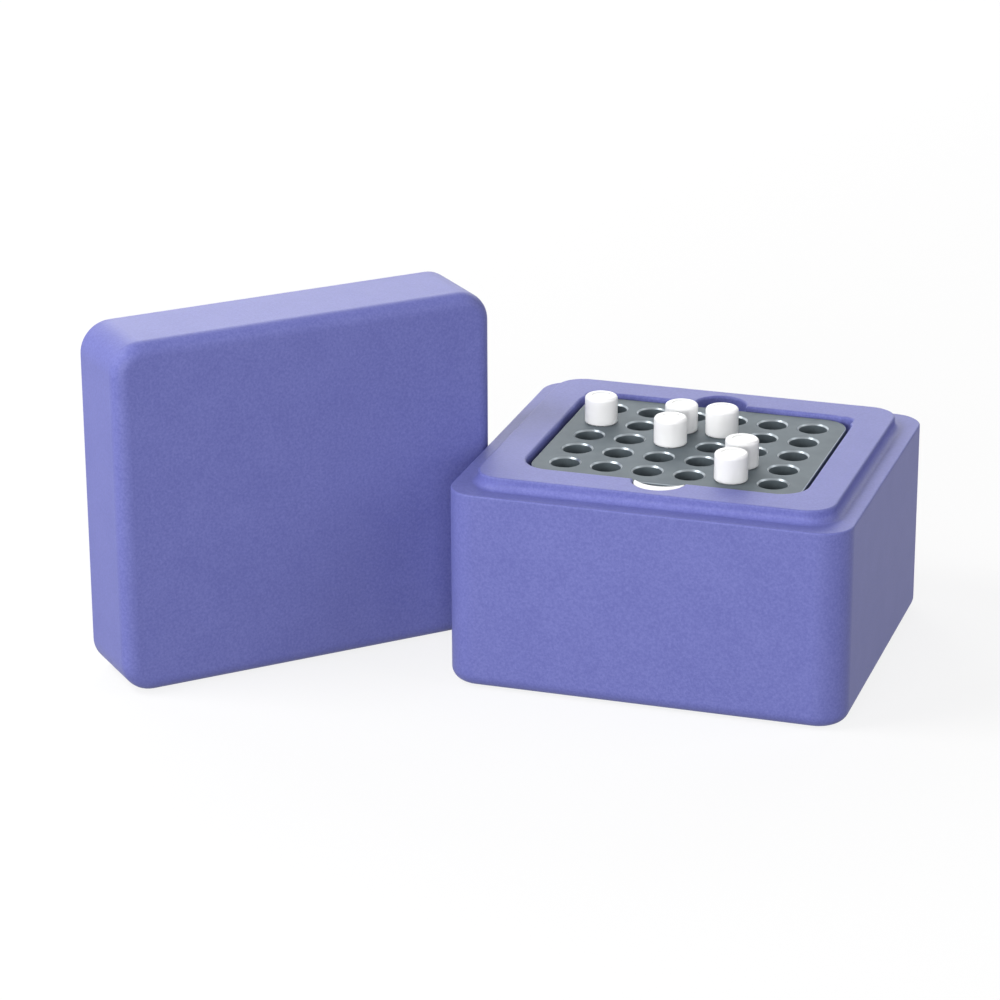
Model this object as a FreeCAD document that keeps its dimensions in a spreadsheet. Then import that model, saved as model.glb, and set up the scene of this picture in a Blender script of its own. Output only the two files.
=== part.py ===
import FreeCAD, Part
import math
import os

import Sketcher

# Bench-top cooling box for cryogenic vials: a foam base with a pocket, a cold
# cartridge and an aluminium rack in the pocket, six capped vials in the rack,
# and the foam lid taken off and stood on its long edge beside the base.
# Millimetres. The origin is the middle of the base's underside, +Z is up,
# +X is to the right along the long side and +Y is to the back.

doc = FreeCAD.newDocument("CoolingBox")

# Driving sizes
SIZES = [
    ("base_width", 182.0),
    ("base_depth", 163.0),
    ("base_height", 97.4),
    ("corner_radius", 14.0),
    ("foot_radius", 6.0),
    ("ledge_width", 10.0),
    ("step_height", 5.8),
    ("step_corner_radius", 13.0),
    ("step_foot_radius", 3.0),
    ("foam_edge_radius", 0.8),
    ("pocket_corner_radius", 13.0),
    ("pocket_edge_radius", 1.2),
    ("relief_radius", 4.0),
    ("relief_inset", 4.8),
    ("notch_share", 0.674),
    ("notch_inset", 0.6),
    ("columns", 6),
    ("rows", 5),
    ("pitch", 19.05),
    ("rack_margin", 14.6),
    ("rack_height", 41.0),
    ("rack_corner_radius", 12.0),
    ("rack_edge_radius", 0.8),
    ("rack_drop", 1.8),
    ("rack_gap_x", 2.2),
    ("rack_gap_y", 1.0),
    ("bore_diameter", 13.0),
    ("bore_depth", 37.0),
    ("bore_chamfer", 0.7),
    ("cartridge_height", 27.0),
    ("cartridge_gap", 1.0),
    ("cartridge_corner_radius", 12.0),
    ("cartridge_edge_radius", 2.5),
    ("tongue_gap", 0.3),
    ("tongue_drop", 0.9),
    ("tongue_edge_radius", 1.2),
    ("dish_radius", 15.0),
    ("dish_depth", 3.0),
    ("dish_share", 0.45),
    ("lid_thickness", 41.0),
    ("lid_edge_radius", 6.5),
    ("lid_gap", 1.0),
    ("lid_mouth_chamfer", 3.6),
    ("cap_room_depth", 13.0),
    ("cap_room_radius", 12.0),
    ("lid_yaw", 44.6),
    ("lid_stand_gap", 2.3),
    ("lid_near_y", -10.15),
    ("tube_diameter", 12.4),
    ("tube_inner_diameter", 9.2),
    ("neck_diameter", 11.2),
    ("neck_shoulder", 0.6),
    ("shoulder_gap", 0.3),
    ("tube_floor", 2.0),
    ("tube_bottom_radius", 4.2),
    ("foot_hollow", 3.0),
    ("foot_hollow_diameter", 9.6),
    ("foot_chamfer", 0.4),
    ("cap_diameter", 15.0),
    ("cap_height", 12.6),
    ("cap_roof", 1.6),
    ("cap_wall", 1.2),
    ("cap_lift", 0.3),
    ("cap_top_radius", 1.4),
    ("cap_foot_radius", 0.4),
    ("cap_dish_diameter", 9.0),
    ("cap_dish_depth", 0.35),
    ("seal_thickness", 1.0),
    ("seal_outer_diameter", 11.0),
    ("seal_inner_diameter", 8.6),
    ("seal_gap", 0.05),
]

# Where the six vials stand: column from the left and row from the front
VIAL_SPOTS = [(1, 4), (3, 3), (3, 4), (4, 4), (5, 2), (5, 1)]

sheet = doc.addObject("Spreadsheet::Sheet", "Sizes")
for line, (alias, value) in enumerate(SIZES, start=1):
    sheet.set("A%d" % line, alias)
    sheet.set("B%d" % line, str(value))
    sheet.setAlias("B%d" % line, alias)
doc.recompute()

# Two lengths closer than this count as the same
TOUCH = 1e-4

# Sizes worked out from the driving ones, as expressions over the sheet
LEDGE_TOP = "Sizes.base_height - Sizes.step_height"
STEP_WIDTH = "Sizes.base_width - 2 * Sizes.ledge_width"
STEP_DEPTH = "Sizes.base_depth - 2 * Sizes.ledge_width"
RACK_WIDTH = "(Sizes.columns - 1) * Sizes.pitch + 2 * Sizes.rack_margin"
RACK_DEPTH = "(Sizes.rows - 1) * Sizes.pitch + 2 * Sizes.rack_margin"
RACK_TOP = "Sizes.base_height - Sizes.rack_drop"
RACK_FOOT = RACK_TOP + " - Sizes.rack_height"
POCKET_WIDTH = RACK_WIDTH + " + 2 * Sizes.rack_gap_x"
POCKET_DEPTH = RACK_DEPTH + " + 2 * Sizes.rack_gap_y"
POCKET_FLOOR = RACK_FOOT + " - Sizes.cartridge_height"
NOTCH_CENTRE = "(" + POCKET_DEPTH + ") / 2 - Sizes.notch_inset"
NOTCH_RADIUS = "Sizes.notch_share * (" + STEP_DEPTH + " - (" + POCKET_DEPTH + ")) / 2"
CARTRIDGE_WIDTH = POCKET_WIDTH + " - 2 * Sizes.cartridge_gap"
CARTRIDGE_DEPTH = POCKET_DEPTH + " - 2 * Sizes.cartridge_gap"
TONGUE_RADIUS = NOTCH_RADIUS + " - Sizes.tongue_gap"
DISH_REACH = "Sizes.dish_share * " + NOTCH_RADIUS
TONGUE_BACK = "(" + RACK_DEPTH + ") / 2 + Sizes.tongue_gap"
TONGUE_TOP = "Sizes.base_height - Sizes.tongue_drop"
CAP_FOOT = "Sizes.bore_depth + Sizes.cap_lift"
SHOULDER_TOP = CAP_FOOT + " - Sizes.shoulder_gap"
SEAL_FOOT = CAP_FOOT + " + Sizes.cap_height - Sizes.cap_roof - Sizes.seal_thickness"
TUBE_TOP = SEAL_FOOT + " - Sizes.seal_gap"
CAP_BORE = "Sizes.cap_diameter / 2 - Sizes.cap_wall"


def number(expression):
    """The present value of an expression over the sheet."""
    result = sheet.evalExpression(expression)
    return float(getattr(result, "Value", result))


def new_body(label):
    """An empty body whose label names its file."""
    body = doc.addObject("PartDesign::Body", label)
    body.Label = label
    return body


def new_sketch(body, role, name, offset=None):
    """A sketch on one of the body's own origin planes, moved along its normal."""
    sketch = body.newObject("Sketcher::SketchObject", name)
    plane = [item for item in body.Origin.OriginFeatures if item.Role == role][0]
    sketch.AttachmentSupport = [(plane, "")]
    sketch.MapMode = "FlatFace"
    if offset:
        sketch.setExpression("AttachmentOffset.Base.z", offset)
    doc.recompute()
    return sketch


def bind(sketch, constraint, expression):
    """Add a size constraint that follows the sheet."""
    index = sketch.addConstraint(constraint)
    sketch.setExpression("Constraints[%d]" % index, expression)


def place_point(sketch, geometry, corner, across, up):
    """Hold one point of a sketch at two coordinates given as expressions."""
    for kind, axis, expression in (("DistanceX", -2, across), ("DistanceY", -1, up)):
        value = number(expression)
        if abs(value) < TOUCH:
            sketch.addConstraint(Sketcher.Constraint("PointOnObject", geometry, corner, axis))
        else:
            constraint = Sketcher.Constraint(kind, -1, 1, geometry, corner, value)
            bind(sketch, constraint, expression)


def draw_circle(sketch, across, up, radius):
    """A circle whose centre and radius follow the sheet."""
    centre = FreeCAD.Vector(number(across), number(up), 0)
    circle = sketch.addGeometry(Part.Circle(centre, FreeCAD.Vector(0, 0, 1), number(radius)))
    place_point(sketch, circle, 3, across, up)
    bind(sketch, Sketcher.Constraint("Radius", circle, number(radius)), radius)


def draw_rounded_rectangle(sketch, width, depth, radius):
    """A rectangle with round corners, centred on the sketch's origin."""
    half_x = number(width) / 2
    half_y = number(depth) / 2
    round_r = number(radius)
    corners = [(1, -1, -90), (1, 1, 0), (-1, 1, 90), (-1, -1, 180)]
    arcs = []
    for side_x, side_y, start in corners:
        centre = FreeCAD.Vector(side_x * (half_x - round_r), side_y * (half_y - round_r), 0)
        circle = Part.Circle(centre, FreeCAD.Vector(0, 0, 1), round_r)
        first = math.radians(start)
        arcs.append(sketch.addGeometry(Part.ArcOfCircle(circle, first, first + math.pi / 2)))
    lines = []
    for this, following in zip(arcs, arcs[1:] + arcs[:1]):
        begin = sketch.getPoint(this, 2)
        finish = sketch.getPoint(following, 1)
        line = sketch.addGeometry(Part.LineSegment(begin, finish))
        sketch.addConstraint(Sketcher.Constraint("Tangent", this, 2, line, 1))
        sketch.addConstraint(Sketcher.Constraint("Tangent", line, 2, following, 1))
        lines.append(line)
    for arc in arcs[1:]:
        sketch.addConstraint(Sketcher.Constraint("Equal", arcs[0], arc))
    sketch.addConstraint(Sketcher.Constraint("Vertical", lines[0]))
    sketch.addConstraint(Sketcher.Constraint("Horizontal", lines[1]))
    sketch.addConstraint(Sketcher.Constraint("Symmetric", arcs[0], 3, arcs[2], 3, -1, 1))
    across = Sketcher.Constraint("DistanceX", lines[2], 1, lines[0], 1, 2 * half_x)
    upright = Sketcher.Constraint("DistanceY", lines[3], 1, lines[1], 1, 2 * half_y)
    bind(sketch, across, width)
    bind(sketch, upright, depth)
    bind(sketch, Sketcher.Constraint("Radius", arcs[0], round_r), radius)


def draw_outline(sketch, points):
    """A closed outline of straight lines through points given as expressions."""
    places = [FreeCAD.Vector(number(across), number(up), 0) for across, up in points]
    count = len(places)
    for index in range(count):
        sketch.addGeometry(Part.LineSegment(places[index], places[(index + 1) % count]))
    for index in range(count):
        following = (index + 1) % count
        sketch.addConstraint(Sketcher.Constraint("Coincident", index, 2, following, 1))
        place_point(sketch, index, 1, *points[index])


def pad(body, sketch, length):
    """Raise a sketch into a solid."""
    feature = body.newObject("PartDesign::Pad", "Pad")
    feature.Profile = sketch
    feature.setExpression("Length", length)
    return finish_feature(body, feature, sketch, grows=True)


def pocket(body, sketch, depth):
    """Cut a sketch down into the body."""
    feature = body.newObject("PartDesign::Pocket", "Pocket")
    feature.Profile = sketch
    feature.setExpression("Length", depth)
    return finish_feature(body, feature, sketch, grows=False)


def turn(body, sketch, kind, grows):
    """Revolve or groove a sketch round its own upright axis."""
    feature = body.newObject("PartDesign::" + kind, kind)
    feature.Profile = sketch
    feature.ReferenceAxis = (sketch, ["V_Axis"])
    feature.Angle = 360
    return finish_feature(body, feature, sketch, grows)


def finish_feature(body, feature, sketch, grows):
    """Recompute, hide the sketch and make sure that material was added or cut."""
    before = feature.BaseFeature.Shape.Volume if feature.BaseFeature else 0.0
    doc.recompute()
    sketch.Visibility = False
    change = feature.Shape.Volume - before
    if (change <= 0) == grows:
        raise ValueError("%s in %s changed nothing" % (feature.Name, body.Label))
    return feature


def edges_where(feature, test):
    """Names of the feature's edges that pass a test."""
    edges = feature.Shape.Edges
    return ["Edge%d" % (i + 1) for i, edge in enumerate(edges) if test(edge)]


def dress(body, feature, kind, test, size):
    """Fillet or chamfer the edges that pass a test."""
    result = body.newObject("PartDesign::" + kind, kind)
    result.Base = (feature, edges_where(feature, test))
    result.setExpression("Radius" if kind == "Fillet" else "Size", size)
    doc.recompute()
    return result


def at_height(expression):
    """A test for edges that lie flat at one height of the body."""
    height = number(expression)

    def test(edge):
        box = edge.BoundBox
        return abs(box.ZMin - height) < TOUCH and abs(box.ZMax - height) < TOUCH

    return test


def lies_flat(edge):
    """A test for edges that keep to one height."""
    return edge.BoundBox.ZLength < TOUCH


def both(first, second):
    """A test that needs two others."""
    return lambda edge: first(edge) and second(edge)


def inside_rectangle(width, depth):
    """A test for edges that lie within a centred rectangle."""
    half_x = number(width) / 2 + TOUCH
    half_y = number(depth) / 2 + TOUCH

    def test(edge):
        box = edge.BoundBox
        across = max(abs(box.XMin), abs(box.XMax))
        along = max(abs(box.YMin), abs(box.YMax))
        return across < half_x and along < half_y

    return test


def is_circle(diameter):
    """A test for round edges of one diameter."""
    radius = number(diameter) / 2

    def test(edge):
        curve = getattr(edge, "Curve", None)
        return isinstance(curve, Part.Circle) and abs(curve.Radius - radius) < TOUCH

    return test


def build_base():
    """Foam block with a raised step, a pocket and two finger notches."""
    body = new_body("foam_base")
    outline = new_sketch(body, "XY_Plane", "block_outline")
    draw_rounded_rectangle(outline, "Sizes.base_width", "Sizes.base_depth", "Sizes.corner_radius")
    block = pad(body, outline, LEDGE_TOP)
    foot = dress(body, block, "Fillet", at_height("0"), "Sizes.foot_radius")
    rim = dress(body, foot, "Fillet", at_height(LEDGE_TOP), "Sizes.foam_edge_radius")

    step_outline = new_sketch(body, "XY_Plane", "step_outline", LEDGE_TOP)
    draw_rounded_rectangle(step_outline, STEP_WIDTH, STEP_DEPTH, "Sizes.step_corner_radius")
    step = pad(body, step_outline, "Sizes.step_height")
    round_step = both(at_height(LEDGE_TOP), inside_rectangle(STEP_WIDTH, STEP_DEPTH))
    step_foot = dress(body, step, "Fillet", round_step, "Sizes.step_foot_radius")
    dress(body, step_foot, "Fillet", at_height("Sizes.base_height"), "Sizes.foam_edge_radius")

    pocket_outline = new_sketch(body, "XY_Plane", "pocket_outline", "Sizes.base_height")
    draw_rounded_rectangle(pocket_outline, POCKET_WIDTH, POCKET_DEPTH, "Sizes.pocket_corner_radius")
    depth = "Sizes.base_height - (" + POCKET_FLOOR + ")"
    pocket(body, pocket_outline, depth)

    reliefs = new_sketch(body, "XY_Plane", "corner_reliefs", "Sizes.base_height")
    for side in ("", "-"):
        across = side + "((" + POCKET_WIDTH + ") / 2 - Sizes.relief_inset)"
        up = "(" + POCKET_DEPTH + ") / 2 - Sizes.relief_inset"
        draw_circle(reliefs, across, up, "Sizes.relief_radius")
    pocket(body, reliefs, depth)

    notches = new_sketch(body, "XY_Plane", "finger_notches", "Sizes.base_height")
    for side in ("", "-"):
        draw_circle(notches, "0", side + "(" + NOTCH_CENTRE + ")", NOTCH_RADIUS)
    cut = pocket(body, notches, depth)
    mouth_width = POCKET_WIDTH + " + 2 * Sizes.pocket_edge_radius"
    mouth_depth = POCKET_DEPTH + " + 2 * " + NOTCH_RADIUS
    mouth = both(at_height("Sizes.base_height"), inside_rectangle(mouth_width, mouth_depth))
    dress(body, cut, "Fillet", mouth, "Sizes.pocket_edge_radius")
    return body


def build_rack():
    """Aluminium block with a grid of blind bores."""
    body = new_body("vial_rack")
    outline = new_sketch(body, "XY_Plane", "rack_outline")
    draw_rounded_rectangle(outline, RACK_WIDTH, RACK_DEPTH, "Sizes.rack_corner_radius")
    block = pad(body, outline, "Sizes.rack_height")
    top = at_height("Sizes.rack_height")
    rim = dress(body, block, "Fillet", top, "Sizes.rack_edge_radius")
    dress(body, rim, "Fillet", at_height("0"), "Sizes.rack_edge_radius")

    first_bore = new_sketch(body, "XY_Plane", "first_bore", "Sizes.rack_height")
    first_x = "-(Sizes.columns - 1) * Sizes.pitch / 2"
    first_y = "-(Sizes.rows - 1) * Sizes.pitch / 2"
    draw_circle(first_bore, first_x, first_y, "Sizes.bore_diameter / 2")
    bore = pocket(body, first_bore, "Sizes.bore_depth")

    grid = body.newObject("PartDesign::MultiTransform", "bore_grid")
    grid.Originals = [bore]
    body.Tip = grid
    patterns = []
    for name, axis, count in (("across", "H_Axis", "columns"), ("back", "V_Axis", "rows")):
        pattern = body.newObject("PartDesign::LinearPattern", "bores_" + name)
        pattern.Direction = (first_bore, [axis])
        pattern.setExpression("Length", "(Sizes.%s - 1) * Sizes.pitch" % count)
        pattern.setExpression("Occurrences", "Sizes." + count)
        patterns.append(pattern)
    grid.Transformations = patterns
    body.Tip = grid
    doc.recompute()
    mouths = both(top, is_circle("Sizes.bore_diameter"))
    body.Tip = dress(body, grid, "Chamfer", mouths, "Sizes.bore_chamfer")
    body.setExpression("Placement.Base.z", RACK_FOOT)
    return body


def build_cartridge():
    """White cold cartridge under the rack, with a tongue up the front notch."""
    body = new_body("cold_cartridge")
    outline = new_sketch(body, "XY_Plane", "cartridge_outline")
    corner = "Sizes.cartridge_corner_radius"
    draw_rounded_rectangle(outline, CARTRIDGE_WIDTH, CARTRIDGE_DEPTH, corner)
    block = pad(body, outline, "Sizes.cartridge_height")
    dress(body, block, "Fillet", lies_flat, "Sizes.cartridge_edge_radius")

    root_outline = new_sketch(body, "XY_Plane", "tongue_root")
    draw_circle(root_outline, "0", "-(" + NOTCH_CENTRE + ")", TONGUE_RADIUS)
    pad(body, root_outline, "Sizes.cartridge_height")

    tongue_outline = new_sketch(body, "XY_Plane", "tongue_outline", "Sizes.cartridge_height")
    draw_tongue(tongue_outline)
    tongue_height = TONGUE_TOP + " - (" + POCKET_FLOOR + ") - Sizes.cartridge_height"
    tongue = pad(body, tongue_outline, tongue_height)
    top = TONGUE_TOP + " - (" + POCKET_FLOOR + ")"
    round_edge = both(at_height(top), is_circle("2 * (" + TONGUE_RADIUS + ")"))
    dress(body, tongue, "Fillet", round_edge, "Sizes.tongue_edge_radius")

    dish = new_sketch(body, "XZ_Plane", "thumb_dish")
    dish_floor = top + " - Sizes.dish_depth"
    above = top + " + Sizes.dish_depth"
    draw_outline(dish, [
        ("0", above),
        ("0", dish_floor),
        ("Sizes.dish_radius - " + DISH_REACH, dish_floor),
        ("Sizes.dish_radius", top),
        ("Sizes.dish_radius", above),
    ])
    dish.setExpression("AttachmentOffset.Base.z", TONGUE_BACK + " + " + DISH_REACH + " - Sizes.dish_radius")
    turn(body, dish, "Groove", grows=False)
    body.setExpression("Placement.Base.z", POCKET_FLOOR)
    return body


def draw_tongue(sketch):
    """The half-round section of the tongue, flat towards the rack."""
    centre_y = -number(NOTCH_CENTRE)
    back_y = -number(TONGUE_BACK)
    radius = number(TONGUE_RADIUS)
    half = math.sqrt(radius ** 2 - (back_y - centre_y) ** 2)
    circle = Part.Circle(FreeCAD.Vector(0, centre_y, 0), FreeCAD.Vector(0, 0, 1), radius)
    right = math.atan2(back_y - centre_y, half)
    left = math.atan2(back_y - centre_y, -half)
    arc = sketch.addGeometry(Part.ArcOfCircle(circle, left, right + 2 * math.pi))
    begin = sketch.getPoint(arc, 2)
    finish = sketch.getPoint(arc, 1)
    line = sketch.addGeometry(Part.LineSegment(begin, finish))
    sketch.addConstraint(Sketcher.Constraint("Coincident", arc, 2, line, 1))
    sketch.addConstraint(Sketcher.Constraint("Coincident", line, 2, arc, 1))
    sketch.addConstraint(Sketcher.Constraint("Horizontal", line))
    place_point(sketch, arc, 3, "0", "-(" + NOTCH_CENTRE + ")")
    bind(sketch, Sketcher.Constraint("Radius", arc, radius), TONGUE_RADIUS)
    level = Sketcher.Constraint("DistanceY", -1, 1, line, 1, back_y)
    bind(sketch, level, "-(" + TONGUE_BACK + ")")


def build_lid():
    """Foam lid with a recess for the step and room for the caps, stood on edge."""
    body = new_body("foam_lid")
    outline = new_sketch(body, "XY_Plane", "lid_outline")
    draw_rounded_rectangle(outline, "Sizes.base_width", "Sizes.base_depth", "Sizes.corner_radius")
    slab = pad(body, outline, "Sizes.lid_thickness")
    top = at_height("Sizes.lid_thickness")
    dress(body, slab, "Fillet", top, "Sizes.lid_edge_radius")

    recess_outline = new_sketch(body, "XY_Plane", "step_recess")
    width = STEP_WIDTH + " + 2 * Sizes.lid_gap"
    depth = STEP_DEPTH + " + 2 * Sizes.lid_gap"
    radius = "Sizes.step_corner_radius + Sizes.lid_gap"
    draw_rounded_rectangle(recess_outline, width, depth, radius)
    recess = pocket_upwards(body, recess_outline, "Sizes.step_height + Sizes.lid_gap")
    mouth = both(at_height("0"), inside_rectangle(width, depth))
    dress(body, recess, "Chamfer", mouth, "Sizes.lid_mouth_chamfer")

    room_outline = new_sketch(body, "XY_Plane", "cap_room")
    draw_rounded_rectangle(room_outline, POCKET_WIDTH, POCKET_DEPTH, "Sizes.cap_room_radius")
    pocket_upwards(body, room_outline, "Sizes.step_height + Sizes.lid_gap + Sizes.cap_room_depth")

    stand_upright(body)
    return body


def pocket_upwards(body, sketch, depth):
    """Cut a sketch up into the body from its underside."""
    feature = body.newObject("PartDesign::Pocket", "Pocket")
    feature.Profile = sketch
    feature.Reversed = True
    feature.setExpression("Length", depth)
    return finish_feature(body, feature, sketch, grows=False)


def stand_upright(body):
    """Turn the lid so that its long edge is down and its top faces forwards."""
    upright = FreeCAD.Rotation(FreeCAD.Vector(1, 0, 0), 90)
    yaw = FreeCAD.Rotation(FreeCAD.Vector(0, 0, 1), number("Sizes.lid_yaw"))
    body.Placement = FreeCAD.Placement(FreeCAD.Vector(0, 0, 0), yaw.multiply(upright))
    cosine = " * cos(Sizes.lid_yaw * 1 deg)"
    sine = " * sin(Sizes.lid_yaw * 1 deg)"
    along = "(Sizes.base_width / 2 - Sizes.lid_edge_radius)"
    deep = "(Sizes.lid_thickness - Sizes.lid_edge_radius)"
    near_x = "-(Sizes.base_width / 2 + Sizes.lid_stand_gap + Sizes.lid_edge_radius)"
    body.setExpression("Placement.Base.x", near_x + " - " + along + cosine + " - " + deep + sine)
    body.setExpression("Placement.Base.y", "Sizes.lid_near_y - " + along + sine + " + " + deep + cosine)
    body.setExpression("Placement.Base.z", "Sizes.base_depth / 2")


def set_over_bore(body, column, row, height):
    """Place a turned piece over one bore of the rack."""
    across = "(%d - (Sizes.columns + 1) / 2) * Sizes.pitch" % column
    back = "(%d - (Sizes.rows + 1) / 2) * Sizes.pitch" % row
    bore_floor = RACK_TOP + " - Sizes.bore_depth"
    body.setExpression("Placement.Base.x", across)
    body.setExpression("Placement.Base.y", back)
    body.setExpression("Placement.Base.z", bore_floor + " + " + height)


def build_tube(label, column, row):
    """Round-bottomed vial tube on a hollow foot, with a narrower neck."""
    body = new_body(label)
    profile = new_sketch(body, "XZ_Plane", "tube_profile")
    outer = "Sizes.tube_diameter / 2"
    inner = "Sizes.tube_inner_diameter / 2"
    neck = "Sizes.neck_diameter / 2"
    hollow = "Sizes.foot_hollow_diameter / 2"
    floor = "Sizes.foot_hollow + Sizes.tube_floor"
    draw_outline(profile, [
        (hollow, "0"),
        (outer + " - Sizes.foot_chamfer", "0"),
        (outer, "Sizes.foot_chamfer"),
        (outer, SHOULDER_TOP + " - Sizes.neck_shoulder"),
        (neck, SHOULDER_TOP),
        (neck, TUBE_TOP),
        (inner, TUBE_TOP),
        (inner, floor),
        ("0", floor),
        ("0", "Sizes.foot_hollow"),
        (hollow, "Sizes.foot_hollow"),
    ])
    shell = turn(body, profile, "Revolution", grows=True)
    inner_floor = both(at_height(floor), is_circle("Sizes.tube_inner_diameter"))
    dress(body, shell, "Fillet", inner_floor, "Sizes.tube_bottom_radius")
    set_over_bore(body, column, row, "0")
    return body


def build_cap(label, column, row):
    """Screw cap: a thin-walled cup with rounded edges and a shallow top dish."""
    body = new_body(label)
    profile = new_sketch(body, "XZ_Plane", "cap_profile")
    outer = "Sizes.cap_diameter / 2"
    dish = "Sizes.cap_dish_diameter / 2"
    roof = "Sizes.cap_height - Sizes.cap_roof"
    draw_outline(profile, [
        (CAP_BORE, "0"),
        (outer, "0"),
        (outer, "Sizes.cap_height"),
        (dish, "Sizes.cap_height"),
        (dish, "Sizes.cap_height - Sizes.cap_dish_depth"),
        ("0", "Sizes.cap_height - Sizes.cap_dish_depth"),
        ("0", roof),
        (CAP_BORE, roof),
    ])
    shell = turn(body, profile, "Revolution", grows=True)
    top_edge = both(at_height("Sizes.cap_height"), is_circle("Sizes.cap_diameter"))
    rounded = dress(body, shell, "Fillet", top_edge, "Sizes.cap_top_radius")
    foot_edge = both(at_height("0"), is_circle("Sizes.cap_diameter"))
    dress(body, rounded, "Fillet", foot_edge, "Sizes.cap_foot_radius")
    set_over_bore(body, column, row, CAP_FOOT)
    return body


def build_seal(label, column, row):
    """Flat sealing ring between the tube's rim and the cap's roof."""
    body = new_body(label)
    profile = new_sketch(body, "XZ_Plane", "seal_profile")
    outer = "Sizes.seal_outer_diameter / 2"
    inner = "Sizes.seal_inner_diameter / 2"
    draw_outline(profile, [
        (inner, "0"),
        (outer, "0"),
        (outer, "Sizes.seal_thickness"),
        (inner, "Sizes.seal_thickness"),
    ])
    turn(body, profile, "Revolution", grows=True)
    set_over_bore(body, column, row, SEAL_FOOT)
    return body


def check_document():
    """Stop if any object of the document is broken."""
    for item in doc.Objects:
        if "Invalid" in item.State or "Error" in item.State:
            raise ValueError("%s is %s" % (item.Name, item.State))


pieces = [build_base(), build_rack(), build_cartridge(), build_lid()]
for place, (column, row) in enumerate(VIAL_SPOTS, start=1):
    pieces.append(build_tube("vial_tube_%d" % place, column, row))
    pieces.append(build_cap("vial_cap_%d" % place, column, row))
    pieces.append(build_seal("cap_seal_%d" % place, column, row))

doc.recompute()
check_document()
os.makedirs("parts", exist_ok=True)
for piece in pieces:
    shape = piece.Shape
    if shape.isNull() or not shape.isValid() or len(shape.Solids) != 1:
        raise ValueError("%s is not one sound solid" % piece.Label)
    shape.exportStep("parts/%s.step" % piece.Label)
    print(piece.Label, round(shape.Volume), shape.BoundBox)
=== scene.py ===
import math

import bpy
from mathutils import Matrix, Vector


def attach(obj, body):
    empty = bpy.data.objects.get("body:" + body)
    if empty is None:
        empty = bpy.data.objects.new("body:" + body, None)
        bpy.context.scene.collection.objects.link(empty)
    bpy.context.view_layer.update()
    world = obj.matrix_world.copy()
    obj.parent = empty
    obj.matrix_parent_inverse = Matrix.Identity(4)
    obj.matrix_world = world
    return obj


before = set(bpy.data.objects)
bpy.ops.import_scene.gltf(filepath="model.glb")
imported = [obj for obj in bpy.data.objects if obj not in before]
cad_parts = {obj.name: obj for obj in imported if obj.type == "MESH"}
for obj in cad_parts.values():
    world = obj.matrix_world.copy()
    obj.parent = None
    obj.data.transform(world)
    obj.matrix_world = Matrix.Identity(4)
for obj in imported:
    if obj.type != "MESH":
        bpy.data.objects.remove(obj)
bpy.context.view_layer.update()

# Looks of a foam cooling box for cryogenic vials: its foam, anodised rack, white
# cartridge and screw caps, the threads under the caps, the floor, lamps and camera.
# Metres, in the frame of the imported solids.

MM = 0.001

# Where the vials stand in the rack: column from the left and row from the front
VIAL_SPOTS = [(1, 4), (3, 3), (3, 4), (4, 4), (5, 2), (5, 1)]
COLUMNS = 6
ROWS = 5
BORE_PITCH = 19.05 * MM


# Colours and nodes

# The range that most of a noise pattern lies in, and a share from none to all
NOISE_RANGE = (0.3, 0.7)
SHARE = (0.0, 1.0)


def from_screen(red, green, blue):
    """A colour picked on a screen, 0 to 255, as the shader's linear colour."""
    def linear(value):
        part = value / 255
        return part / 12.92 if part <= 0.04045 else ((part + 0.055) / 1.055) ** 2.4
    return (linear(red), linear(green), linear(blue), 1.0)


def set_sockets(node, **settings):
    """Set a node's sockets by name, with _ for a space."""
    for key, value in settings.items():
        node.inputs[key.replace("_", " ")].default_value = value


def add_node(tree, kind, **settings):
    """A new node with its sockets set."""
    node = tree.nodes.new(kind)
    set_sockets(node, **settings)
    return node


def new_finish(name):
    """An empty node material with its shader and output joined."""
    finish = bpy.data.materials.new(name)
    finish.use_nodes = True
    tree = finish.node_tree
    tree.nodes.clear()
    output = tree.nodes.new("ShaderNodeOutputMaterial")
    shader = tree.nodes.new("ShaderNodeBsdfPrincipled")
    tree.links.new(shader.outputs["BSDF"], output.inputs["Surface"])
    return finish, tree, shader


def object_place(tree):
    """The object coordinates that every pattern follows."""
    return tree.nodes.new("ShaderNodeTexCoord").outputs["Object"]


def stretched(tree, place, scale):
    """The object coordinates, stretched along the axes."""
    node = add_node(tree, "ShaderNodeMapping", Scale=scale)
    tree.links.new(place, node.inputs["Vector"])
    return node.outputs["Vector"]


def noise(tree, place, scale, detail=3.0, roughness=0.55):
    """Soft random grain of a given scale, in cycles per metre."""
    node = add_node(tree, "ShaderNodeTexNoise", Scale=scale, Detail=detail, Roughness=roughness)
    tree.links.new(place, node.inputs["Vector"])
    return node.outputs["Fac"]


def cells(tree, place, scale):
    """Distance to the middle of the nearest foam cell."""
    node = add_node(tree, "ShaderNodeTexVoronoi", Scale=scale)
    tree.links.new(place, node.inputs["Vector"])
    return node.outputs["Distance"]


def spread(tree, value, old, new):
    """A value moved from one range to another."""
    node = add_node(tree, "ShaderNodeMapRange",
                    From_Min=old[0], From_Max=old[1], To_Min=new[0], To_Max=new[1])
    tree.links.new(value, node.inputs["Value"])
    return node.outputs["Result"]


def combine(tree, kind, first, second):
    """Two values made into one, such as their product. Either may be a plain number."""
    node = tree.nodes.new("ShaderNodeMath")
    node.operation = kind
    for socket, value in zip(node.inputs, (first, second)):
        if isinstance(value, (int, float)):
            socket.default_value = value
        else:
            tree.links.new(value, socket)
    return node.outputs["Value"]


def weigh(tree, *parts):
    """Several patterns added up, each times its own weight."""
    total = None
    for pattern, weight in parts:
        part = combine(tree, "MULTIPLY", pattern, weight)
        total = part if total is None else combine(tree, "ADD", total, part)
    return total


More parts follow.
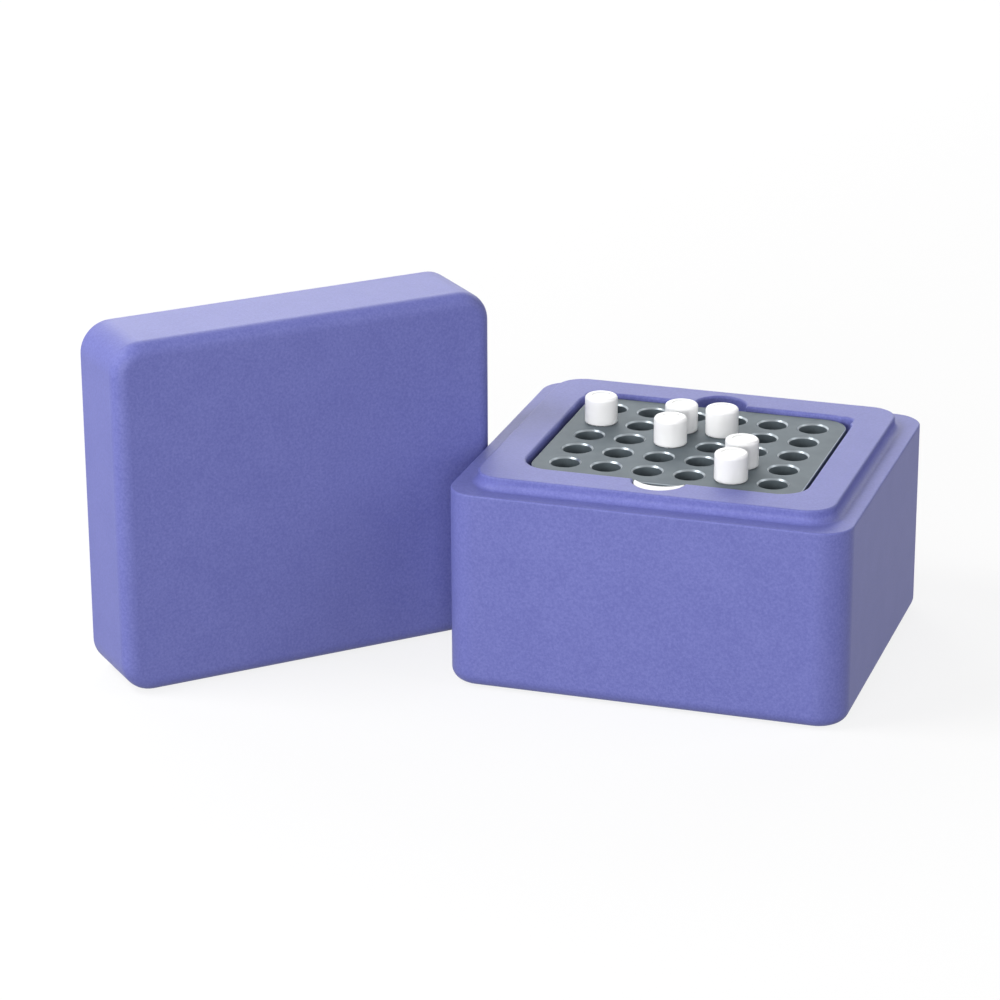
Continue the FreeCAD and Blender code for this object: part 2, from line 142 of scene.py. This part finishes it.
def blend_colours(tree, share, first, second):
    """A colour between two, by a share from 0 to 1. Either may be a plain colour."""
    node = tree.nodes.new("ShaderNodeMix")
    node.data_type = "RGBA"
    tree.links.new(share, node.inputs["Factor"])
    for socket, colour in ((node.inputs["A"], first), (node.inputs["B"], second)):
        if isinstance(colour, tuple):
            socket.default_value = colour
        else:
            tree.links.new(colour, socket)
    return node.outputs["Result"]


def raise_surface(tree, shader, height, strength, depth):
    """Bump the surface by a height pattern."""
    node = add_node(tree, "ShaderNodeBump", Strength=strength, Distance=depth)
    tree.links.new(height, node.inputs["Height"])
    tree.links.new(node.outputs["Normal"], shader.inputs["Normal"])


# Foam: two tones, the scale of its patterns in cycles per metre, and its sheen

FOAM_DEEP = (99, 103, 168)
FOAM_PALE = (114, 118, 182)
FOAM_CLOUDS = 55
FOAM_GRAIN = 900
FOAM_CELLS = 1500
FOAM_CUTTER_LINES = (40, 40, 900)
FOAM_TONES = (0.42, 0.74)
FOAM_BUMP = 0.12 * MM
FOAM_ROUGH = (0.42, 0.52)
FOAM_IOR = 1.3


def foam_finish():
    """Violet-blue closed-cell foam: fine cells, cloudy tone, faint cutter lines."""
    finish, tree, shader = new_finish("violet_foam")
    place = object_place(tree)
    cloud = noise(tree, place, FOAM_CLOUDS, 2.0)
    grain = noise(tree, place, FOAM_GRAIN, 4.0, 0.65)
    tone = weigh(tree, (cloud, 0.2), (grain, 0.9))
    share = spread(tree, tone, FOAM_TONES, SHARE)
    colour = blend_colours(tree, share, from_screen(*FOAM_DEEP), from_screen(*FOAM_PALE))
    tree.links.new(colour, shader.inputs["Base Color"])

    pores = cells(tree, place, FOAM_CELLS)
    milled = noise(tree, stretched(tree, place, FOAM_CUTTER_LINES), 1.0, 2.0)
    height = weigh(tree, (pores, 0.7), (grain, 0.8), (milled, 0.5))
    raise_surface(tree, shader, height, 0.35, FOAM_BUMP)
    rough = spread(tree, grain, NOISE_RANGE, FOAM_ROUGH)
    tree.links.new(rough, shader.inputs["Roughness"])
    set_sockets(shader, IOR=FOAM_IOR)
    return finish


# Rack: matt anodised aluminium, whose chamfers are cut bright. Its faces are told
# apart by how far they point up: walls 0, chamfers about 0.7, the top 1.

RACK_DARK = (79, 89, 95)
RACK_LIGHT = (92, 102, 108)
RACK_GRAIN = 2500
RACK_CLOUDS = 90
RACK_TONES = (0.35, 0.65)
RACK_BUMP = 0.03 * MM
RACK_METAL = 0.4
RACK_ROUGH = (0.6, 0.7)
CHAMFER_BRIGHT = (140, 147, 152)
CHAMFER_SMOOTH = 0.5
WALL_TO_CHAMFER = (0.4, 0.55)
CHAMFER_TO_TOP = (0.85, 0.95)


def chamfer_share(tree):
    """1 on the sloping chamfers, 0 on the top and on the bores' upright walls."""
    facing = tree.nodes.new("ShaderNodeSeparateXYZ")
    direction = tree.nodes.new("ShaderNodeTexCoord").outputs["Normal"]
    tree.links.new(direction, facing.inputs["Vector"])
    above_wall = spread(tree, facing.outputs["Z"], WALL_TO_CHAMFER, (0.0, 1.0))
    below_top = spread(tree, facing.outputs["Z"], CHAMFER_TO_TOP, (1.0, 0.0))
    return combine(tree, "MULTIPLY", above_wall, below_top)


def anodised_finish():
    """Matt grey anodised aluminium with a fine blasted grain and bright-cut chamfers."""
    finish, tree, shader = new_finish("grey_anodised_aluminium")
    place = object_place(tree)
    grain = noise(tree, place, RACK_GRAIN, 3.0, 0.6)
    cloud = noise(tree, place, RACK_CLOUDS, 2.0)
    tone = weigh(tree, (grain, 0.5), (cloud, 0.5))
    share = spread(tree, tone, RACK_TONES, SHARE)
    matt = blend_colours(tree, share, from_screen(*RACK_DARK), from_screen(*RACK_LIGHT))

    cut = chamfer_share(tree)
    colour = blend_colours(tree, cut, matt, from_screen(*CHAMFER_BRIGHT))
    tree.links.new(colour, shader.inputs["Base Color"])
    metal = spread(tree, cut, SHARE, (RACK_METAL, 1.0))
    tree.links.new(metal, shader.inputs["Metallic"])
    rough = spread(tree, grain, NOISE_RANGE, RACK_ROUGH)
    smooth = spread(tree, cut, SHARE, (1.0, CHAMFER_SMOOTH))
    tree.links.new(combine(tree, "MULTIPLY", rough, smooth), shader.inputs["Roughness"])
    raise_surface(tree, shader, grain, 0.25, RACK_BUMP)
    return finish


# White plastics: the caps let light in deeper than the cartridge does

CAP_WHITE = (250, 251, 252)
CAP_ROUGH = 0.34
CAP_GRAIN = 900
CAP_LIGHT_DEPTH = 3 * MM
CARTRIDGE_WHITE = (244, 244, 242)
CARTRIDGE_ROUGH = 0.4
CARTRIDGE_GRAIN = 700
CARTRIDGE_LIGHT_DEPTH = 1 * MM
PLASTIC_CLOUDS = 120
PLASTIC_SHADE = 4
PLASTIC_BUMP = 0.03 * MM


def white_plastic(name, colour, roughness, grain_scale, depth):
    """White moulded plastic that light sinks into, with a faint moulded grain."""
    finish, tree, shader = new_finish(name)
    place = object_place(tree)
    grain = noise(tree, place, grain_scale, 3.0)
    cloud = noise(tree, place, PLASTIC_CLOUDS, 1.0)
    share = spread(tree, cloud, NOISE_RANGE, SHARE)
    shade = [value - PLASTIC_SHADE for value in colour]
    white = blend_colours(tree, share, from_screen(*shade), from_screen(*colour))
    tree.links.new(white, shader.inputs["Base Color"])
    rough = spread(tree, grain, NOISE_RANGE, (roughness - 0.04, roughness + 0.05))
    tree.links.new(rough, shader.inputs["Roughness"])
    raise_surface(tree, shader, grain, 0.15, PLASTIC_BUMP)
    set_sockets(shader, Subsurface_Weight=1.0, Subsurface_Radius=(1.0, 1.0, 1.0),
                Subsurface_Scale=depth)
    return finish


# Tubes and sealing rings

TUBE_DEEP = (226, 231, 236)
TUBE_PALE = (240, 243, 246)
TUBE_ROUGH = (0.22, 0.3)
TUBE_CLEAR = 0.55
TUBE_IOR = 1.49
SEAL_DEEP = (206, 204, 198)
SEAL_PALE = (222, 220, 214)
SEAL_ROUGH = 0.6


def tube_finish():
    """Milky see-through tube plastic."""
    finish, tree, shader = new_finish("milky_tube_plastic")
    cloud = noise(tree, object_place(tree), 200, 2.0)
    colour = blend_colours(tree, cloud, from_screen(*TUBE_DEEP), from_screen(*TUBE_PALE))
    tree.links.new(colour, shader.inputs["Base Color"])
    rough = spread(tree, cloud, NOISE_RANGE, TUBE_ROUGH)
    tree.links.new(rough, shader.inputs["Roughness"])
    set_sockets(shader, Transmission_Weight=TUBE_CLEAR, IOR=TUBE_IOR)
    return finish


def seal_finish():
    """Matt silicone."""
    finish, tree, shader = new_finish("seal_silicone")
    grain = noise(tree, object_place(tree), 1800, 2.0)
    colour = blend_colours(tree, grain, from_screen(*SEAL_DEEP), from_screen(*SEAL_PALE))
    tree.links.new(colour, shader.inputs["Base Color"])
    set_sockets(shader, Roughness=SEAL_ROUGH)
    return finish


def dress(node_name, finish):
    """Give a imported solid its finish."""
    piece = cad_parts[node_name]
    piece.data.materials.clear()
    piece.data.materials.append(finish)


foam = foam_finish()
anodised = anodised_finish()
cap_white = white_plastic("cap_white_plastic", CAP_WHITE, CAP_ROUGH, CAP_GRAIN,
                          CAP_LIGHT_DEPTH)
cartridge_white = white_plastic("cartridge_white_plastic", CARTRIDGE_WHITE, CARTRIDGE_ROUGH,
                                CARTRIDGE_GRAIN, CARTRIDGE_LIGHT_DEPTH)
tube_plastic = tube_finish()
seal_silicone = seal_finish()

dress("foam_base", foam)
dress("foam_lid", foam)
dress("vial_rack", anodised)
dress("cold_cartridge", cartridge_white)
for vial in range(1, len(VIAL_SPOTS) + 1):
    dress("vial_tube_%d" % vial, tube_plastic)
    dress("vial_cap_%d" % vial, cap_white)
    dress("cap_seal_%d" % vial, seal_silicone)


# Screw threads, on the necks of the tubes and inside the caps. The crest fades
# over a share of the thread's length at each end, down to a share of its size.

THREAD_PITCH = 3 * MM
THREAD_CREST = 0.45 * MM
THREAD_STEPS = 40
CREST_SIDES = 4
FADE_LENGTH = 0.12
FADE_SIZE = 0.1
NECK_RADIUS = 5.6 * MM
NECK_START = 98.4 * MM
NECK_TURNS = 2.0
CAP_BORE_RADIUS = 6.3 * MM
CAP_START = 97.0 * MM
CAP_TURNS = 2.0


def vial_place(column, row):
    """The middle of one bore, seen from above."""
    across = (column - (COLUMNS + 1) / 2) * BORE_PITCH
    back = (row - (ROWS + 1) / 2) * BORE_PITCH
    return (across, back, 0)


def thread_tree(name, finish):
    """Geometry nodes that wind one thread over each point they are given."""
    tree = bpy.data.node_groups.new(name, "GeometryNodeTree")
    face = tree.interface
    face.new_socket(name="Geometry", in_out="INPUT", socket_type="NodeSocketGeometry")
    for size_name in ("Radius", "Crest", "Pitch", "Turns", "Start", "Phase"):
        face.new_socket(name=size_name, in_out="INPUT", socket_type="NodeSocketFloat")
    face.new_socket(name="Geometry", in_out="OUTPUT", socket_type="NodeSocketGeometry")
    given = tree.nodes.new("NodeGroupInput")
    result = tree.nodes.new("NodeGroupOutput")
    link = tree.links.new

    helix = add_node(tree, "GeometryNodeCurveSpiral", Resolution=THREAD_STEPS, Reverse=True)
    link(given.outputs["Turns"], helix.inputs["Rotations"])
    link(given.outputs["Radius"], helix.inputs["Start Radius"])
    link(given.outputs["Radius"], helix.inputs["End Radius"])
    rise = combine(tree, "MULTIPLY", given.outputs["Turns"], given.outputs["Pitch"])
    link(rise, helix.inputs["Height"])

    # The crest sinks into the wall at both ends
    along = tree.nodes.new("GeometryNodeSplineParameter").outputs["Factor"]
    left = combine(tree, "SUBTRACT", 1.0, along)
    end = combine(tree, "MINIMUM", along, left)
    fade = spread(tree, end, (0.0, FADE_LENGTH), (FADE_SIZE, 1.0))
    size = tree.nodes.new("GeometryNodeSetCurveRadius")
    link(helix.outputs["Curve"], size.inputs["Curve"])
    link(fade, size.inputs["Radius"])
    upright = tree.nodes.new("GeometryNodeSetCurveNormal")
    upright.mode = "Z_UP"
    link(size.outputs["Curve"], upright.inputs["Curve"])

    section = add_node(tree, "GeometryNodeCurvePrimitiveCircle", Resolution=CREST_SIDES)
    link(given.outputs["Crest"], section.inputs["Radius"])
    sweep = add_node(tree, "GeometryNodeCurveToMesh", Fill_Caps=True)
    link(upright.outputs["Curve"], sweep.inputs["Curve"])
    link(section.outputs["Curve"], sweep.inputs["Profile Curve"])

    lift = tree.nodes.new("ShaderNodeCombineXYZ")
    link(given.outputs["Start"], lift.inputs["Z"])
    turn = tree.nodes.new("ShaderNodeCombineXYZ")
    link(given.outputs["Phase"], turn.inputs["Z"])
    place = tree.nodes.new("GeometryNodeTransform")
    link(sweep.outputs["Mesh"], place.inputs["Geometry"])
    link(lift.outputs["Vector"], place.inputs["Translation"])
    link(turn.outputs["Vector"], place.inputs["Rotation"])

    copies = tree.nodes.new("GeometryNodeInstanceOnPoints")
    link(given.outputs["Geometry"], copies.inputs["Points"])
    link(place.outputs["Geometry"], copies.inputs["Instance"])
    real = tree.nodes.new("GeometryNodeRealizeInstances")
    link(copies.outputs["Instances"], real.inputs["Geometry"])
    paint = add_node(tree, "GeometryNodeSetMaterial", Material=finish)
    link(real.outputs["Geometry"], paint.inputs["Geometry"])
    link(paint.outputs["Geometry"], result.inputs["Geometry"])
    return tree


def wind_threads(name, tree, finish, points, settings, body):
    """Run the thread tree over some points and keep the plain mesh on a body."""
    seeds = bpy.data.meshes.new(name + "_points")
    seeds.from_pydata(points, [], [])
    holder = bpy.data.objects.new(name + "_points", seeds)
    bpy.context.collection.objects.link(holder)
    winder = holder.modifiers.new("threads", "NODES")
    winder.node_group = tree
    for item in tree.interface.items_tree:
        if item.in_out == "INPUT" and item.name in settings:
            winder[item.identifier] = settings[item.name]
    holder.update_tag()
    graph = bpy.context.evaluated_depsgraph_get()
    mesh = bpy.data.meshes.new_from_object(holder.evaluated_get(graph), depsgraph=graph)
    mesh.name = name
    mesh.materials.clear()
    mesh.materials.append(finish)
    bpy.data.objects.remove(holder)
    bpy.data.meshes.remove(seeds)
    piece = bpy.data.objects.new(name, mesh)
    bpy.context.collection.objects.link(piece)
    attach(piece, body)


def cut_threads():
    """Threads on the necks, and in each cap half a pitch between them."""
    shared = {"Crest": THREAD_CREST, "Pitch": THREAD_PITCH}
    neck = dict(shared, Radius=NECK_RADIUS, Turns=NECK_TURNS, Start=NECK_START, Phase=0.0)
    places = [vial_place(*spot) for spot in VIAL_SPOTS]
    neck_tree = thread_tree("neck_thread", tube_plastic)
    wind_threads("neck_threads", neck_tree, tube_plastic, places, neck, "box")

    halfway = (CAP_START - NECK_START) / THREAD_PITCH - 0.5
    inner = dict(shared, Radius=CAP_BORE_RADIUS, Turns=CAP_TURNS, Start=CAP_START,
                 Phase=2 * math.pi * halfway)
    cap_tree = thread_tree("cap_thread", cap_white)
    for vial, place in enumerate(places, start=1):
        wind_threads("cap_thread_%d" % vial, cap_tree, cap_white, [place], inner,
                     "cap_%d" % vial)


cut_threads()


# The floor and the room. The floor is a pale grey sheet with a glow that makes it
# white where it is seen.

WHITE = (1, 1, 1, 1)
PAPER = (0.18, 0.18, 0.18, 1)
PAPER_GLOW = 0.815
FLOOR_SIZE = 8
FLOOR_GAP = 0.2 * MM
ROOM_LIGHT = 0.01


def background_rays(tree):
    """1 for the rays that see the background: from the camera, gloss and see-through."""
    path = tree.nodes.new("ShaderNodeLightPath")
    mirrored = combine(tree, "MAXIMUM",
                       path.outputs["Is Glossy Ray"], path.outputs["Is Transmission Ray"])
    return combine(tree, "MAXIMUM", path.outputs["Is Camera Ray"], mirrored)


def lay_floor():
    """A floor whose glow looks white and which keeps the object's shadow."""
    bpy.ops.mesh.primitive_plane_add(size=FLOOR_SIZE)
    floor = bpy.context.object
    floor.name = "floor"
    floor.location.z = -FLOOR_GAP
    sheet = bpy.data.materials.new("floor_paper")
    sheet.use_nodes = True
    tree = sheet.node_tree
    tree.nodes.clear()
    output = tree.nodes.new("ShaderNodeOutputMaterial")
    paper = add_node(tree, "ShaderNodeBsdfDiffuse", Color=PAPER)
    glow = tree.nodes.new("ShaderNodeEmission")
    strength = combine(tree, "MULTIPLY", background_rays(tree), PAPER_GLOW)
    tree.links.new(strength, glow.inputs["Strength"])
    both = tree.nodes.new("ShaderNodeAddShader")
    tree.links.new(paper.outputs["BSDF"], both.inputs[0])
    tree.links.new(glow.outputs["Emission"], both.inputs[1])
    tree.links.new(both.outputs["Shader"], output.inputs["Surface"])
    floor.data.materials.append(sheet)


def light_room():
    """An even dim room with a white backdrop."""
    world = bpy.data.worlds.new("room")
    world.use_nodes = True
    tree = world.node_tree
    room = tree.nodes["Background"]
    set_sockets(room, Color=WHITE, Strength=ROOM_LIGHT)
    backdrop = add_node(tree, "ShaderNodeBackground", Color=WHITE)
    mix = tree.nodes.new("ShaderNodeMixShader")
    tree.links.new(background_rays(tree), mix.inputs["Fac"])
    tree.links.new(room.outputs["Background"], mix.inputs[1])
    tree.links.new(backdrop.outputs["Background"], mix.inputs[2])
    tree.links.new(mix.outputs["Shader"], tree.nodes["World Output"].inputs["Surface"])
    bpy.context.scene.world = world


# The lamps, all facing one point: name, degrees round from the front and up,
# distance, width, height and watts

LIT_MIDDLE = (-0.04, 0, 0.08)
LAMPS = [
    ("left_softbox", -60, 30, 1.6, 1.2, 1.2, 12.8),
    ("low_front_strip", 2, 12, 2.2, 2.0, 0.8, 45.5),
    ("right_softbox", 95, 30, 1.6, 1.2, 1.2, 9.0),
    ("chamfer_spot", -62, 52, 1.4, 0.5, 0.35, 6.0),
    ("back_wall_light", -168, 23, 2.0, 2.2, 0.9, 17.0),
    ("back_left_softbox", -135, 35, 1.7, 1.4, 1.2, 7.7),
]


def way_out(around, up_angle):
    """The direction that lies some degrees round from the front and up."""
    around = math.radians(around)
    up_angle = math.radians(up_angle)
    level = math.cos(up_angle)
    return Vector((math.sin(around) * level, -math.cos(around) * level, math.sin(up_angle)))


def hang_lamp(name, around, up_angle, distance, width, height, watts):
    """A soft lamp that faces the lit middle."""
    target = Vector(LIT_MIDDLE)
    place = target + distance * way_out(around, up_angle)
    lamp = bpy.data.lights.new(name, "AREA")
    lamp.shape = "RECTANGLE"
    lamp.size = width
    lamp.size_y = height
    lamp.energy = watts
    holder = bpy.data.objects.new(name, lamp)
    bpy.context.collection.objects.link(holder)
    turn = (target - place).to_track_quat("-Z", "Y").to_matrix().to_4x4()
    holder.matrix_world = Matrix.Translation(place) @ turn


# The photograph's view: degrees round from the front, up and rolled, and where the
# camera stands along its own right, up and back axes from the middle of the rack's
# top. The lens and its sensor are in millimetres, as Blender has them.

CAMERA_ROUND = 17.89
CAMERA_UP = 20.50
CAMERA_ROLL = -0.226
CAMERA_RIGHT = -0.0861
CAMERA_RISE = -0.0237
CAMERA_BACK = 1.6634
CAMERA_AIM_HEIGHT = 0.0954
CAMERA_LENS = 132.6
CAMERA_SENSOR = 36
CAMERA_SHIFT = -0.002


def set_camera():
    """Stand the camera where the photograph was taken from."""
    back = way_out(CAMERA_ROUND, CAMERA_UP)
    around = math.radians(CAMERA_ROUND)
    right = Vector((math.cos(around), math.sin(around), 0))
    rise = back.cross(right)
    roll = math.radians(CAMERA_ROLL)
    right, rise = (math.cos(roll) * right + math.sin(roll) * rise,
                   -math.sin(roll) * right + math.cos(roll) * rise)
    place = CAMERA_RIGHT * right + CAMERA_RISE * rise + CAMERA_BACK * back
    place.z += CAMERA_AIM_HEIGHT
    lens = bpy.data.cameras.new("camera")
    lens.lens = CAMERA_LENS
    lens.sensor_width = CAMERA_SENSOR
    lens.shift_y = CAMERA_SHIFT
    holder = bpy.data.objects.new("camera", lens)
    bpy.context.collection.objects.link(holder)
    turn = Matrix((right, rise, back)).transposed().to_4x4()
    holder.matrix_world = Matrix.Translation(place) @ turn
    bpy.context.scene.camera = holder


lay_floor()
light_room()
for lamp_row in LAMPS:
    hang_lamp(*lamp_row)
set_camera()
bpy.context.scene.view_settings.view_transform = "Standard"
